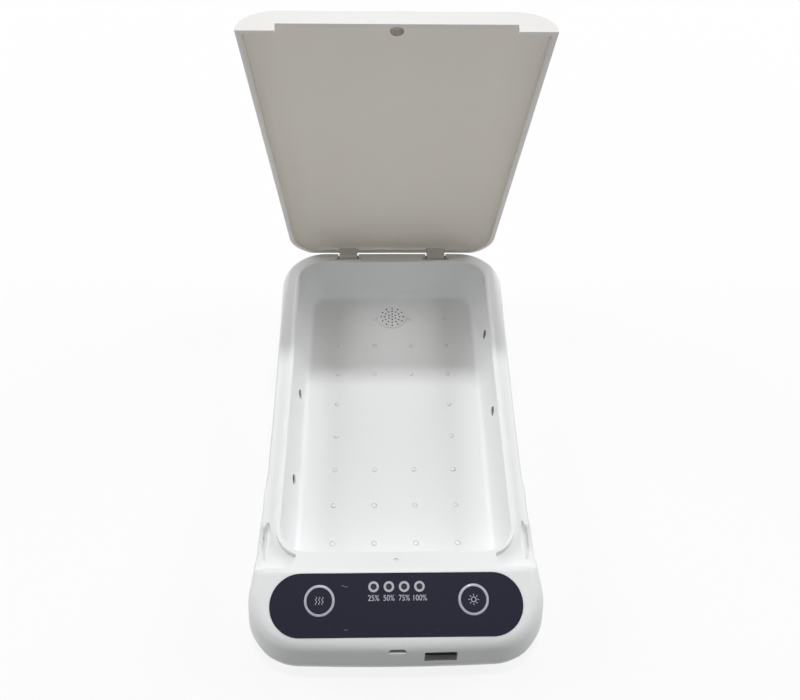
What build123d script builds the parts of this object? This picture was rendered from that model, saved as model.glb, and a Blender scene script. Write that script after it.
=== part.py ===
from build123d import *
import math
import os

# Frame: X across, Y toward the hinge, Z up. The origin is the centre of the
# footprint on the table plane. All lengths are millimetres.

# ---- driving dimensions: the room for the phone ------------------------------
CHAMBER_LENGTH = 170.4
CHAMBER_HALF = 50.0
CHAMBER_DEPTH = 24.7
CHAMBER_R = 12.5
CHAMBER_LEAN = 4.5        # inward lean of the wall at the floor
CHAMBER_FLOOR_R = 3.0

# ---- base round the chamber ----------------------------------------------------
REAR_END = 12.4           # rear edge of the base behind the chamber
FRONT_END = 39.6          # front edge of the base ahead of the chamber
SIDE_BACK = 12.6          # base outside the chamber, at the parting plane
SIDE_WAIST = 10.6
SIDE_FRONT = 15.5
WAIST_BACK = 42.4         # the flare runs between these two, measured back
FLARE_BACK = 5.4          # from the chamber front
FLOOR_STAND = 11.8        # chamber floor above the table
PART_STEP = 0.2           # parting plane above the chamber floor
FOOT_STAND = 1.0          # feet below the bottom cover
FOOT_R = 6.0
FOOT_INSET = 0.6          # recess that holds a foot
FOOT_SIDE = 18.6          # foot centres inside the waist
FOOT_FRONT = 29.2         # behind the front edge
FOOT_REAR = 45.2          # ahead of the rear edge
BODY_DRAFT = 6.5          # degrees, walls lean in going up
CORNER_R = 25.0
FRONT_BOW = 1.9           # middle of the front edge ahead of its ends
TOP_ROLL = 7.0            # edge roll round the whole top
WALL = 2.2
BOTTOM_R = 9.5
REVEAL = 0.25             # line between the housing and bottom cover
LIP_RISE = 1.4            # lip of the bottom cover above the parting plane

# ---- ring and ledge --------------------------------------------------------------
TUB_WALL = 1.8
RING_WALL = 2.1
MOUTH_SOFT = 0.6
LEDGE_DROP = 3.0
LEDGE_AHEAD = 7.0         # front of the ledge ahead of the chamber
PLATFORM_SIDE = 7.5       # platform end inside the chamber side
SKIN = 2.2

# ---- chin and controls -------------------------------------------------------
CHIN_AHEAD = 8.6          # crease ahead of the chamber
CHIN_TILT = 18.3
CHIN_SKIN = 3.0
CREASE_R = 6.0
OVERLAY_SIDE = 13.1       # overlay end inside the base side
OVERLAY_HEIGHT = 25.4
OVERLAY_CENTRE = 13.6     # along the slope from the crease
OVERLAY_POCKET = 0.8
OVERLAY_STAND = 0.15
BUTTON_END = 20.5         # button centre inside the overlay end
BUTTON_S = 11.8
BUTTON_R = 6.35
BUTTON_CAP_R = 5.45
BUTTON_GAP = 0.15
BUTTON_STAND = 0.6
BUTTON_TRAVEL = 0.7
LED_PITCH = 6.35
LED_R = 2.2
LED_S = 6.4
SCOOP_BACK = 6.2          # hollow centre behind the chamber front
SCOOP_HALF = 9.1
SCOOP_SIDE = 7.7          # hollow centre outside the chamber
SCOOP_DEEP = 3.1

# ---- ports -------------------------------------------------------------------
USB_X = 18.25
USB_RISE = 7.3            # centre above the parting plane
USB_W = 13.1
USB_H = 6.3
USB_DEEP = 12.0
MICRO_X = 0.3
MICRO_RISE = 11.8
MICRO_W = 7.2
MICRO_H = 2.2
MICRO_DEEP = 5.6
MICRO_SET = 0.8           # behind the USB-A socket, under the edge roll
PORT_GAP = 0.2            # window round a socket, at its sides
PORT_OVER = 0.7           # and above and below the USB-A socket
PORT_SET = 1.7            # sockets behind the front face
SHEET = 0.35

# ---- hinge -------------------------------------------------------------------
HINGE_BACK = 8.0          # axis behind the chamber
HINGE_DROP = 4.6          # axis below the ring top
KNUCKLE_R = 2.2
ARM_X = 24.5
ARM_W = 10.0
SLOT_W = 14.6
BOSS_W = 11.4
SLOT_FRONT = 3.0
SLOT_DROP = 7.3
PIN_R = 0.9
PIN_LENGTH = 17.0
PIN_FIT = 0.05

# ---- lid ---------------------------------------------------------------------
LID_OPEN = 70.0           # degrees from closed, the rest pose
LID_AHEAD = 6.6           # front face ahead of the chamber
LID_TAIL = 1.0            # behind the axis
LID_SIDE_BACK = 5.2       # lid outside the chamber
LID_SIDE_FRONT = 6.7
LID_R = 21.0
LID_GAP = 0.3             # closed rim above the ledge
LID_HEIGHT = 8.4
LID_SHOULDER = 15.5
LID_WALL = 1.5
LID_ROOF = 1.5
LID_NOTCH_H = 3.0
NOTCH_GAP = 0.3           # lid notch round the platform, at each side
LINER_T = 0.65            # liner and its fit under the cover
LINER_FIT = 0.05
LINER_EDGE = 0.1          # liner edge above the rim
BOSS_R = 3.1
BOSS_HOLE_R = 2.5
BOSS_INSET = 4.0          # boss centre behind the lid front
MAGNET_R = 2.4
MAGNET_T = 0.9
DIMPLE_INSET = 2.3        # dimple of the platform behind the lid front

# ---- inner pieces ------------------------------------------------------------
VENT_BACK = 18.9
VENT_R = 8.3
VENT_DISC_R = 7.5
VENT_HOLE_R = 0.48
NUB_SHARES = (0.193, 0.579)   # of the chamber's half width
NUB_ROWS = 8
NUB_FIRST = 20.3          # first row from the chamber back
NUB_LAST = 15.0           # last row from the chamber front
NUB_R = 1.3
NUB_H = 0.9
UV_DROP_LEFT = 15.0       # lamp holes below the ring top
UV_DROP_RIGHT = 8.4
UV_HOLE_R = 2.5
UV_LEFT = (0.46, 0.7465)      # along the chamber, shares of its length
UV_RIGHT = (0.2635, 0.55)
UV_BOARD_END = 7.0        # board past the outer lamps
UV_BOARD_H = 8.0
UV_BOARD_LOW = 1.4        # board centre below the lamps
SCREW_R = 1.2
SCREW_SIDE = 13.5         # front screws inside the base side
SCREW_AHEAD = 8.8         # and ahead of the crease
SCREW_IN = 14.0           # rear screws inside the chamber side
SCREW_BACK = 16.8         # and ahead of the chamber back
BOARD_SCREW_R = 0.95
BOARD_T = 1.6
BOARD_CLEAR = 0.15        # under the sockets
BOARD_LEFT = 32.0         # board ends from the socket centres
BOARD_RIGHT = 26.0
BOARD_FRONT = 3.2         # behind the socket faces
BOARD_BEHIND = 2.2        # board rear edge behind the crease
BOARD_EDGE = 5.0          # screws from the board ends
BOARD_SCREW_FRONT = 9.47  # screws behind the socket faces
BOARD_SCREW_REAR = 3.5    # screws ahead of the board rear edge
PANEL_BOARD_DEPTH = 6.3
PANEL_BOARD_T = 1.2
PANEL_BOARD_SIDE = 14.1   # board end outside the button centre
PANEL_BOARD_H = 13.6
PANEL_BOARD_UP = 1.6      # board centre above the buttons

# ---- derived -----------------------------------------------------------------
BODY_LENGTH = CHAMBER_LENGTH + REAR_END + FRONT_END
HALF_LENGTH = BODY_LENGTH / 2
RING_BACK_Y = HALF_LENGTH - REAR_END
MOUTH_Y = RING_BACK_Y - CHAMBER_LENGTH
CHAMBER_MID = RING_BACK_Y - CHAMBER_LENGTH / 2
HALF_BACK = CHAMBER_HALF + SIDE_BACK
HALF_WAIST = CHAMBER_HALF + SIDE_WAIST
HALF_FRONT = CHAMBER_HALF + SIDE_FRONT
WAIST_Y = MOUTH_Y + WAIST_BACK
FLARE_Y = MOUTH_Y + FLARE_BACK
TOP_Z = FLOOR_STAND + CHAMBER_DEPTH
PART_Z = FLOOR_STAND + PART_STEP
DRAFT = math.tan(math.radians(BODY_DRAFT))
LEDGE_Z = TOP_Z - LEDGE_DROP
LEDGE_FRONT_Y = MOUTH_Y - LEDGE_AHEAD
PLATFORM_HALF = CHAMBER_HALF - PLATFORM_SIDE
NOTCH_HALF = PLATFORM_HALF + NOTCH_GAP
FLOOR_Z = TOP_Z - CHAMBER_DEPTH
UNDER_Z = LEDGE_Z - SKIN
CHAMBER_ANGLE = math.degrees(math.atan(CHAMBER_LEAN / CHAMBER_DEPTH))
HINGE_Y = RING_BACK_Y + HINGE_BACK
HINGE_Z = TOP_Z - HINGE_DROP
RIM_Z = LEDGE_Z + LID_GAP
LID_TOP = RIM_Z + LID_HEIGHT
LID_REACH = CHAMBER_LENGTH + HINGE_BACK + LID_AHEAD
LID_HALF_BACK = CHAMBER_HALF + LID_SIDE_BACK
LID_HALF_FRONT = CHAMBER_HALF + LID_SIDE_FRONT
DISH_RISE = LID_HEIGHT - LID_ROOF - LINER_T
DISH_Z = RIM_Z + DISH_RISE
LID_FRONT_Y = HINGE_Y - LID_REACH
LID_BACK_Y = HINGE_Y + LID_TAIL
BOSS_BACK = LID_REACH - BOSS_INSET
DIMPLE_Y = LID_FRONT_Y + DIMPLE_INSET
CHIN_Y = MOUTH_Y - CHIN_AHEAD
OVERLAY_HALF = HALF_FRONT - OVERLAY_SIDE
BUTTON_X = OVERLAY_HALF - BUTTON_END
SCOOP_X = CHAMBER_HALF + SCOOP_SIDE
SCOOP_Y = MOUTH_Y + SCOOP_BACK
USB_Z = PART_Z + USB_RISE
MICRO_Z = PART_Z + MICRO_RISE
PORT_Y = -HALF_LENGTH + DRAFT * (USB_Z - PART_Z) + PORT_SET
MICRO_Y = PORT_Y + MICRO_SET
NUB_PITCH = (CHAMBER_LENGTH - NUB_FIRST - NUB_LAST) / (NUB_ROWS - 1)
TRAY_Z = FOOT_STAND + 2.0
BOARD_TOP = USB_Z - USB_H / 2 - BOARD_CLEAR
BOARD_X0 = MICRO_X - BOARD_LEFT
BOARD_X1 = USB_X + BOARD_RIGHT
BOARD_Y0 = PORT_Y + BOARD_FRONT
BOARD_Y1 = CHIN_Y + BOARD_BEHIND
NODES = {}


def keep(name, shape):
    """Store one node; several loose solids stay separate solids."""
    solids = shape.solids()
    if len(solids) == 1:
        NODES[name] = solids[0]
    else:
        NODES[name] = Compound(children=list(solids))


def block(x0, x1, y0, y1, z0, z1):
    """Axis-aligned box from its limits."""
    size = (x1 - x0, y1 - y0, z1 - z0)
    centre = ((x0 + x1) / 2, (y0 + y1) / 2, (z0 + z1) / 2)
    return Pos(*centre) * Box(*size)


def rod(x, y, z0, z1, r):
    """Upright cylinder."""
    return Pos(x, y, (z0 + z1) / 2) * Cylinder(r, z1 - z0)


def stud(x, y, z0, z1, r, sides=10):
    """Upright prism with flat sides, for small round pieces and holes."""
    plan = RegularPolygon(r, sides)
    return Pos(x, y, z0) * extrude(plan, z1 - z0)


def chin_plane(depth=0.0):
    """Plane of the chin, its local x across and local y up the slope."""
    lean = math.radians(CHIN_TILT)
    up = Vector(0, -math.sin(lean), math.cos(lean))
    origin = Vector(0, CHIN_Y, TOP_Z) - up * depth
    return Plane(origin=origin, x_dir=(1, 0, 0), z_dir=up)


def on_chin(x, s, low, high, r):
    """Cylinder along the chin normal, s measured down the slope."""
    disc = Pos(x, -s, (low + high) / 2) * Cylinder(r, high - low)
    return chin_plane() * disc


def above_chin(depth):
    """Everything in front of the crease and above the chin plane."""
    top = chin_plane(depth)
    slab = Pos(0, -60, 30) * Box(300, 130, 60)
    return (top * slab) & block(-150, 150, -200, CHIN_Y + 30, -50, 90)


# ---- base outlines -------------------------------------------------------------
def body_outline(inset, z):
    """Waisted plan of the body, inset from the parting plane outline."""
    back = HALF_LENGTH - inset
    ends = -HALF_LENGTH + inset + FRONT_BOW
    waist = (HALF_WAIST - inset, WAIST_Y)
    flare = (HALF_FRONT - 0.2 - inset, FLARE_Y)
    middle = ((waist[0] + flare[0]) / 2, (waist[1] + flare[1]) / 2)
    corner_b = (HALF_BACK - inset, back)
    corner_f = (HALF_FRONT - inset, ends)
    side = [
        TangentArc(waist, corner_b, tangent=(0, 1)),
        TangentArc(waist, middle, tangent=(0, -1)),
        TangentArc(flare, middle, tangent=(0, 1)),
        Line(flare, corner_f),
    ]
    other = [mirror(edge, about=Plane.YZ) for edge in side]
    front = ThreePointArc(corner_f, (0, ends - FRONT_BOW), (-corner_f[0], ends))
    rear = Line(corner_b, (-corner_b[0], back))
    sharp = make_face(side + other + [front, rear])
    ends_only = [v for v in sharp.vertices() if abs(v.Y) > abs(ends) - 3.0]
    soft = fillet(ends_only, CORNER_R - inset).faces()[0]
    return Pos(0, 0, z) * Face(soft.outer_wire())


def drafted_body(inset, z0, z1):
    """Body outline drawn up with its draft between two heights."""
    low = body_outline(inset, z0)
    solid = Solid.extrude_taper(low, (0, 0, z1 - z0), BODY_DRAFT)
    if solid.bounding_box().max.Z < z1 - 0.1:
        solid = Solid.extrude_taper(low, (0, 0, z0 - z1), BODY_DRAFT)
    return solid


def edge_key(edge):
    """Rounded place and length of an edge."""
    mid = edge.center()
    return (round(mid.X, 2), round(mid.Y, 2), round(mid.Z, 2), round(edge.length, 2))


def rim_edges(solid, faces):
    """Edges that bound a group of faces, without the edges inside it."""
    seen = {}
    for face in faces:
        for edge in face.edges():
            seen[edge_key(edge)] = seen.get(edge_key(edge), 0) + 1
    return [e for e in solid.edges() if seen.get(edge_key(e), 0) == 1]


def body_form():
    """Drafted prism with the tilted chin and the roll round its top."""
    solid = drafted_body(0.0, PART_Z + REVEAL, TOP_Z)
    solid = (solid - above_chin(0.0)).solids()[0]
    crease = [
        e for e in solid.edges()
        if abs(e.center().Y - CHIN_Y) < 0.01 and abs(e.center().Z - TOP_Z) < 0.01
    ]
    solid = fillet(crease, CREASE_R).solids()[0]
    tops = [f for f in solid.faces() if f.normal_at().Z > 0.8]
    return fillet(rim_edges(solid, tops), TOP_ROLL).solids()[0]


def body_hollow():
    """Inner space of the housing, before the tub is left standing in it."""
    solid = drafted_body(WALL, PART_Z - 1.0, UNDER_Z)
    return (solid - above_chin(CHIN_SKIN)).solids()[0]


# ---- chamber -------------------------------------------------------------------
def chamber_plan(grow, z):
    """Rounded rectangle of the chamber at the ring top, grown outward."""
    width = 2 * (CHAMBER_HALF + grow)
    length = CHAMBER_LENGTH + 2 * grow
    plan = RectangleRounded(width, length, CHAMBER_R + grow)
    return Pos(0, CHAMBER_MID, z) * Face(plan.faces()[0].outer_wire())


def chamber_cut(grow, drop, floor_r):
    """Drafted pocket from the ring top down by drop."""
    plan = chamber_plan(grow, 0)
    pocket = Solid.extrude_taper(plan, (0, 0, drop), CHAMBER_ANGLE)
    if floor_r > 0:
        pocket = fillet(pocket.faces().sort_by(Axis.Z)[-1].edges(), floor_r)
    return Pos(0, 0, TOP_Z) * mirror(pocket, about=Plane.XY)


def ledge_cut():
    """Space above the ledge, with the platform left standing."""
    wide = HALF_FRONT + 25
    cut = block(-wide, wide, LEDGE_FRONT_Y, HALF_LENGTH + 30, LEDGE_Z, LEDGE_Z + 20)
    front = LEDGE_FRONT_Y - 1
    return cut - block(-PLATFORM_HALF, PLATFORM_HALF, front, MOUTH_Y, 0, TOP_Z + 50)


def ring_wall():
    """Raised ring round the chamber, from the ledge to the ring top."""
    return extrude(chamber_plan(RING_WALL, LEDGE_Z - 1.0), LEDGE_DROP + 1.0)


def hinge_slots():
    """Two slots open to the rear, with the pin bosses left in them."""
    cuts = []
    y0 = RING_BACK_Y + SLOT_FRONT
    z0 = TOP_Z - SLOT_DROP
    for side in (-1, 1):
        x = side * ARM_X
        slot = block(x - SLOT_W / 2, x + SLOT_W / 2, y0, y0 + 60, z0, z0 + 40)
        boss = Pos(x, HINGE_Y, HINGE_Z) * Rot(0, 90, 0) * Cylinder(KNUCKLE_R, SLOT_W)
        foot = block(
            x - SLOT_W / 2, x + SLOT_W / 2,
            HINGE_Y - KNUCKLE_R, HINGE_Y + KNUCKLE_R, z0, HINGE_Z,
        )
        gap = block(x - BOSS_W / 2, x + BOSS_W / 2, y0, y0 + 60, z0, z0 + 40)
        cuts.append(slot - (boss + foot - gap))
    return cuts


def hinge_blocks():
    """Thicker places of the housing under the two slots."""
    blocks = []
    low = TOP_Z - SLOT_DROP - 2.0
    for side in (-1, 1):
        x = side * ARM_X
        half = PIN_LENGTH / 2 + 2.0
        blocks.append(
            block(x - half, x + half, RING_BACK_Y, RING_BACK_Y + 40, low, low + 40)
        )
    return blocks


def pin_rods(r):
    """The two hinge pins, or the holes for them."""
    rods = []
    for side in (-1, 1):
        place = Pos(side * ARM_X, HINGE_Y, HINGE_Z) * Rot(0, 90, 0)
        rods.append(place * Cylinder(r, PIN_LENGTH))
    return rods


def uv_places():
    """Centres of the lamp holes on the two side walls, as planes."""
    lean = math.radians(CHAMBER_ANGLE)
    rows = {"left": (-1, UV_DROP_LEFT, UV_LEFT), "right": (1, UV_DROP_RIGHT, UV_RIGHT)}
    places = {"left": [], "right": []}
    for name, (side, drop, shares) in rows.items():
        out = Vector(side * math.cos(lean), 0, -math.sin(lean))
        x = CHAMBER_HALF - drop * math.tan(lean)
        for share in shares:
            y = RING_BACK_Y - share * CHAMBER_LENGTH
            at = Vector(side * x, y, TOP_Z - drop)
            places[name].append(Plane(origin=at, x_dir=(0, 1, 0), z_dir=out))
    return places


def case_screw_places():
    """Two screws beside the sockets, two under the rear of the chamber."""
    front_x = HALF_FRONT - SCREW_SIDE
    front_y = CHIN_Y - SCREW_AHEAD
    rear_x = CHAMBER_HALF - SCREW_IN
    rear_y = RING_BACK_Y - SCREW_BACK
    front = [(-front_x, front_y), (front_x, front_y)]
    return front + [(-rear_x, rear_y), (rear_x, rear_y)]


def board_screw_places():
    """Four screws near the corners of the main board."""
    columns = (BOARD_X0 + BOARD_EDGE, BOARD_X1 - BOARD_EDGE)
    rows = (BOARD_Y1 - BOARD_SCREW_REAR, PORT_Y + BOARD_SCREW_FRONT)
    return [(x, y) for y in rows for x in columns]


def screw_top(index):
    """Height where a screw post of the housing starts."""
    return UNDER_Z - 0.1 if index < 2 else FLOOR_Z - TUB_WALL + 0.3


def scoop_forms(grow):
    """Finger hollows beside the lid, optionally grown for their walls."""
    ball = Solid.make_sphere(1.0)
    ball = scale(ball, by=(SCOOP_DEEP + grow, SCOOP_HALF + grow, SCOOP_DEEP + grow))
    return [Pos(side * SCOOP_X, SCOOP_Y, LEDGE_Z + 0.4) * ball for side in (-1, 1)]


# ---- upper housing ---------------------------------------------------------------
def upper_housing():
    """The one white moulding: chamber, ring, ledge, chin and front face."""
    outer = soften_mouth(body_form() - ledge_cut() + ring_wall())
    for scoop in scoop_forms(0.0):
        outer -= scoop
    tub = chamber_cut(TUB_WALL, CHAMBER_DEPTH + TUB_WALL, 0.0)
    hollow = body_hollow() - tub
    for piece in hinge_blocks() + scoop_forms(SKIN):
        hollow -= piece
    wide = HALF_FRONT + 25
    base = tub & block(-wide, wide, -BODY_LENGTH, BODY_LENGTH, -9, PART_Z + 2.0)
    base -= chamber_cut(0.0, CHAMBER_DEPTH, CHAMBER_FLOOR_R)
    shell = outer - hollow + base
    for cut in hinge_slots() + pin_rods(PIN_R):
        shell -= cut
    for planes in uv_places().values():
        for plane in planes:
            shell -= plane * Cylinder(UV_HOLE_R, 8.0)
    shell = vent_seat(shell)
    shell = chin_openings(shell)
    shell = port_openings(shell)
    for index, (x, y) in enumerate(case_screw_places()):
        low = TRAY_Z + 3.6
        shell += rod(x, y, low, screw_top(index), 3.2)
        shell -= stud(x, y, low, low + 9.4 if index < 2 else FLOOR_Z - 1.2, SCREW_R)
    dimple = rod(0, DIMPLE_Y, TOP_Z - 0.5, TOP_Z + 1, 1.3)
    shell -= dimple
    keep("upper_housing", shell)


def soften_mouth(form):
    """Cut the chamber and round the edges of its mouth and of the ring."""
    form -= chamber_cut(0.0, CHAMBER_DEPTH, CHAMBER_FLOOR_R)
    top = [f for f in form.faces() if f.normal_at().Z > 0.99 and f.inner_wires()]
    top = [f for f in top if abs(f.center().Z - TOP_Z) < 0.1][0]
    mouth = top.inner_wires()[0].edges()
    rim = [
        e for e in top.outer_wire().edges()
        if e.center().Y > MOUTH_Y
    ]
    form = form.solids()[0].fillet(MOUTH_SOFT, mouth + rim)
    return form


def vent_seat(shell):
    """Round seat for the vent cap in the chamber floor."""
    y = RING_BACK_Y - VENT_BACK
    shell -= rod(0, y, FLOOR_Z - 0.6, FLOOR_Z + 2, VENT_R + 0.1)
    return shell - rod(0, y, FLOOR_Z - 5, FLOOR_Z + 2, VENT_DISC_R)


def led_places():
    """Offsets of the four indicators across the panel."""
    return [(i - 1.5) * LED_PITCH for i in range(4)]


def stadium(grow, low, high):
    """Panel outline as a slab along the chin normal."""
    width = 2 * (OVERLAY_HALF + grow)
    height = OVERLAY_HEIGHT + 2 * grow
    plan = RectangleRounded(width, height, height / 2 - 0.01)
    slab = extrude(Pos(0, -OVERLAY_CENTRE, low) * plan, high - low)
    return chin_plane() * slab


def chin_openings(shell):
    """Pocket of the overlay, the button holes and the light holes."""
    shell -= stadium(0.1, -OVERLAY_POCKET, 3.0)
    for side in (-1, 1):
        hole_r = BUTTON_R + BUTTON_GAP
        shell -= on_chin(side * BUTTON_X, BUTTON_S, -5.0, 3.0, hole_r)
        room_r = BUTTON_R + 1.4
        shell -= on_chin(side * BUTTON_X, BUTTON_S, -9.0, -CHIN_SKIN, room_r)
    for x in led_places():
        shell -= on_chin(x, LED_S, -5.0, 3.0, LED_R - 0.5)
    return shell


def micro_outline(grow):
    """Micro socket outline: narrow at the top, wide at the bottom."""
    w = MICRO_W / 2 + grow
    h = MICRO_H / 2 + grow
    low = -h * 0.1
    corners = [(-w, -h), (w, -h), (w, low), (w - 0.8, h), (0.8 - w, h), (-w, low)]
    face = make_face(Polyline(*corners, close=True))
    return fillet(face.vertices(), 0.3)


def port_solid(plan, x, z, y0, y1):
    """Socket outline extruded along Y."""
    plane = Plane(origin=(x, y1, z), x_dir=(1, 0, 0), z_dir=(0, -1, 0))
    return plane * extrude(plan, y1 - y0)


def port_openings(shell):
    """Two port windows in the front face."""
    usb = RectangleRounded(USB_W + 2 * PORT_GAP, USB_H + 2 * PORT_OVER, 0.4)
    front = PORT_Y - 16
    shell -= port_solid(usb, USB_X, USB_Z, front, PORT_Y + 4.0)
    micro = micro_outline(PORT_GAP)
    return shell - port_solid(micro, MICRO_X, MICRO_Z, front, MICRO_Y + MICRO_DEEP + 0.5)


# ---- bottom cover ------------------------------------------------------------------
def bottom_cover():
    """Tray below the parting line, with posts, foot seats and screw seats."""
    outer = extrude(body_outline(0.0, FOOT_STAND), PART_Z - FOOT_STAND)
    base = outer.faces().sort_by(Axis.Z)[0]
    outer = fillet(base.edges(), BOTTOM_R)
    inner = extrude(body_outline(WALL, TRAY_Z), PART_Z)
    base = inner.faces().sort_by(Axis.Z)[0]
    inner = fillet(base.edges(), BOTTOM_R - WALL)
    tray = outer - inner
    lip = extrude(body_outline(WALL + 0.35, PART_Z - 3.0), 3.0 + LIP_RISE)
    lip -= extrude(body_outline(WALL + 1.4, PART_Z - 4.0), 8.0)
    bridge = extrude(body_outline(WALL - 0.4, PART_Z - 3.0), 2.6)
    bridge -= extrude(body_outline(WALL + 1.4, PART_Z - 4.0), 8.0)
    tray += bridge + lip
    for x, y in case_screw_places():
        tray += rod(x, y, TRAY_Z - 1.0, TRAY_Z + 3.4, 4.2)
        tray -= rod(x, y, 0.0, TRAY_Z + 1.4, 2.6)
        tray -= rod(x, y, 0.0, TRAY_Z + 6.0, 1.4)
    for x, y in board_screw_places():
        tray += rod(x, y, TRAY_Z - 1.0, BOARD_TOP - BOARD_T, 2.6)
        tray -= stud(x, y, BOARD_TOP - 9.0, BOARD_TOP, BOARD_SCREW_R)
    for x, y in foot_places():
        tray -= rod(x, y, 0.0, FOOT_STAND + FOOT_INSET, FOOT_R + 0.1)
    keep("bottom_cover", tray)


def foot_places():
    """Centres of the four feet."""
    half = HALF_WAIST - FOOT_SIDE
    rows = (-HALF_LENGTH + FOOT_FRONT, HALF_LENGTH - FOOT_REAR)
    return [(x, y) for x in (-half, half) for y in rows]


def rubber_feet():
    """Four soft discs under the bottom cover."""
    feet = [rod(x, y, 0.0, FOOT_STAND + FOOT_INSET, FOOT_R) for x, y in foot_places()]
    feet = [chamfer(f.faces().sort_by(Axis.Z)[0].edges(), 0.4) for f in feet]
    keep("rubber_feet", Compound(children=feet))


def case_screws():
    """Four screws from below into the posts of the housing."""
    screws = []
    for index, (x, y) in enumerate(case_screw_places()):
        seat = TRAY_Z + 1.4
        tip = seat + 9.6 if index < 2 else FLOOR_Z - 1.6
        screw = rod(x, y, seat - 1.8, seat, 2.4) + stud(x, y, seat, tip, SCREW_R)
        screw -= stud(x, y, seat - 2.4, seat - 0.8, 1.0, 6)
        screws.append(screw)
    keep("case_screws", Compound(children=screws))


# ---- aroma insert --------------------------------------------------------------------
def aroma_parts():
    """Vent cap, oil pad, cup and heater under the chamber floor."""
    y = RING_BACK_Y - VENT_BACK
    cap = rod(0, y, FLOOR_Z - 0.6, FLOOR_Z + 0.35, VENT_R)
    cap = chamfer(cap.edges().group_by(Axis.Z)[-1], 0.25)
    cap -= rod(0, y, FLOOR_Z + 0.15, FLOOR_Z + 2, VENT_DISC_R)
    cap += rod(0, y, FLOOR_Z - 1.6, FLOOR_Z - 0.5, VENT_DISC_R - 0.1)
    cap -= rod(0, y, FLOOR_Z - 1.7, FLOOR_Z - 0.9, VENT_DISC_R - 1.1)
    for r, count in ((0.0, 1), (2.07, 6), (4.13, 12), (6.2, 12)):
        for i in range(count):
            a = math.radians(90 + 360 * i / count)
            x = r * math.cos(a)
            cap -= stud(x, y + r * math.sin(a), FLOOR_Z - 2, FLOOR_Z + 1, VENT_HOLE_R, 8)
    keep("aroma_vent_cap", cap)
    roof = FLOOR_Z - TUB_WALL
    low = TRAY_Z + 0.6
    cup = rod(0, y, low, roof, VENT_DISC_R + 1.2)
    cup -= rod(0, y, low + 1.2, roof + 1, VENT_DISC_R)
    keep("aroma_cup", cup)
    keep("aroma_heater", rod(0, y, low + 1.2, low + 2.6, VENT_DISC_R - 0.3))
    keep("aroma_pad", rod(0, y, low + 2.6, FLOOR_Z - 1.7, VENT_DISC_R - 0.3))


def phone_support_nubs():
    """Small nubs that keep the phone off the chamber floor."""
    nubs = []
    for row in range(NUB_ROWS):
        y = RING_BACK_Y - NUB_FIRST - row * NUB_PITCH
        inner = row not in (3, 4)
        for share in NUB_SHARES:
            if share == NUB_SHARES[0] and not inner:
                continue
            for side in (-1, 1):
                x = side * share * CHAMBER_HALF
                low = Pos(x, y, FLOOR_Z) * RegularPolygon(NUB_R, 8)
                nubs.append(extrude(low, NUB_H, taper=30))
    keep("phone_support_nubs", Compound(children=nubs))


# ---- controls ------------------------------------------------------------------------
def control_overlay():
    """Dark stadium plate in the chin."""
    plate = stadium(0.0, -OVERLAY_POCKET, OVERLAY_STAND)
    for side in (-1, 1):
        plate -= on_chin(side * BUTTON_X, BUTTON_S, -5, 3, BUTTON_R + BUTTON_GAP)
    for x in led_places():
        plate -= on_chin(x, LED_S, -5, 3, LED_R + 0.02)
    keep("control_overlay", plate)


def indicators():
    """Four lenses in the overlay and the LEDs under them."""
    lenses = []
    leds = []
    for x in led_places():
        lens = on_chin(x, LED_S, -OVERLAY_POCKET, OVERLAY_STAND + 0.1, LED_R)
        lens += on_chin(x, LED_S, -2.6, -OVERLAY_POCKET, LED_R - 0.6)
        lenses.append(lens)
        body = Pos(x, -LED_S, -PANEL_BOARD_DEPTH + 0.8) * Box(3.2, 2.8, 1.6)
        leds.append(chin_plane() * body)
    keep("indicator_lenses", Compound(children=lenses))
    keep("indicator_leds", Compound(children=leds))


def button(side, name):
    """One travelling button: dark cap with its flange, and a silver ring."""
    x = side * BUTTON_X
    cap = on_chin(x, BUTTON_S, -CHIN_SKIN - 0.8, BUTTON_STAND, BUTTON_CAP_R)
    top = cap.faces().sort_by(chin_axis())[-1]
    cap = chamfer(top.edges(), 0.3)
    cap += on_chin(x, BUTTON_S, -CHIN_SKIN - 0.8, -CHIN_SKIN - 0.1, BUTTON_R + 0.9)
    cap += on_chin(x, BUTTON_S, -CHIN_SKIN - 1.0, -CHIN_SKIN - 0.8, 1.6)
    keep(name + "_button_cap", cap)
    ring = on_chin(x, BUTTON_S, -CHIN_SKIN - 0.1, BUTTON_STAND - 0.1, BUTTON_R)
    ring = chamfer(ring.faces().sort_by(chin_axis())[-1].edges(), 0.3)
    ring -= on_chin(x, BUTTON_S, -CHIN_SKIN - 1, 3, BUTTON_CAP_R + 0.05)
    keep(name + "_button_ring", ring)


def chin_axis():
    """Axis along the chin normal."""
    return Axis((0, CHIN_Y, TOP_Z), chin_plane().z_dir)


def panel_board():
    """Board under the chin, with the two switches on it."""
    middle = PANEL_BOARD_UP - BUTTON_S
    plate = Pos(0, middle, -PANEL_BOARD_DEPTH - PANEL_BOARD_T / 2)
    width = 2 * (BUTTON_X + PANEL_BOARD_SIDE)
    board = chin_plane() * (plate * Box(width, PANEL_BOARD_H, PANEL_BOARD_T))
    keep("panel_board", board)
    switches = []
    for side in (-1, 1):
        x = side * BUTTON_X
        body = Pos(x, -BUTTON_S, -PANEL_BOARD_DEPTH + 0.6) * Box(6, 6, 1.2)
        switch = chin_plane() * body
        top = -CHIN_SKIN - 1.0 - BUTTON_TRAVEL - 0.1
        switch += on_chin(x, BUTTON_S, -PANEL_BOARD_DEPTH + 1.0, top, 1.4)
        switches.append(switch)
    keep("tact_switches", Compound(children=switches))


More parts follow.
